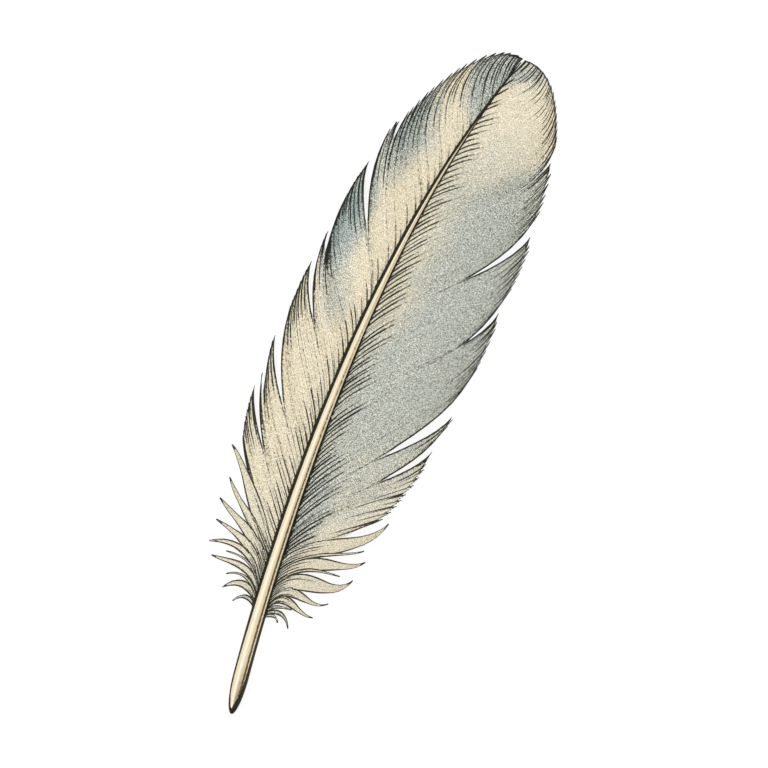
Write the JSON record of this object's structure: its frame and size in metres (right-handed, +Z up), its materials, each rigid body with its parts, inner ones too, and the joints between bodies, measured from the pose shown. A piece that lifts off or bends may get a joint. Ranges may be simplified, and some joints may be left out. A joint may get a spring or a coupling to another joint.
{
  "type": "feather",
  "caption": "Loose wing feather lying flat: a bowed tapering quill, a narrow and a broad vane with open clefts, and free downy locks at its base.",
  "frame": {"origin": "middle of the feather's box, on the surface it lies on", "axes": "+Y from the quill's foot to the tip, +X towards the broad vane, +Z up from the surface"},
  "size_m": [0.0492, 0.1788, 0.0077],
  "materials": {
    "quill_horn": "smooth cream horn with tan sides, satin",
    "vane": "matt barbs, cream washed with blue-grey, dark barb lines at the quill and the rim",
    "down": "matt cream barbs with dark edges"
  },
  "bodies": {
    "root": {"shaft": "quill_horn", "left_vane": "vane", "right_vane": "vane", "left_down_1": "down", "left_down_2": "down", "left_down_3": "down", "left_down_4": "down", "left_down_5": "down", "left_down_6": "down", "left_down_7": "down", "left_down_8": "down", "left_down_9": "down", "left_down_10": "down", "right_down_1": "down", "right_down_2": "down", "right_down_3": "down", "right_down_4": "down", "right_down_5": "down", "right_down_6": "down", "right_down_7": "down", "right_down_8": "down", "right_down_9": "down", "right_down_10": "down"}
  },
  "joints": []
}
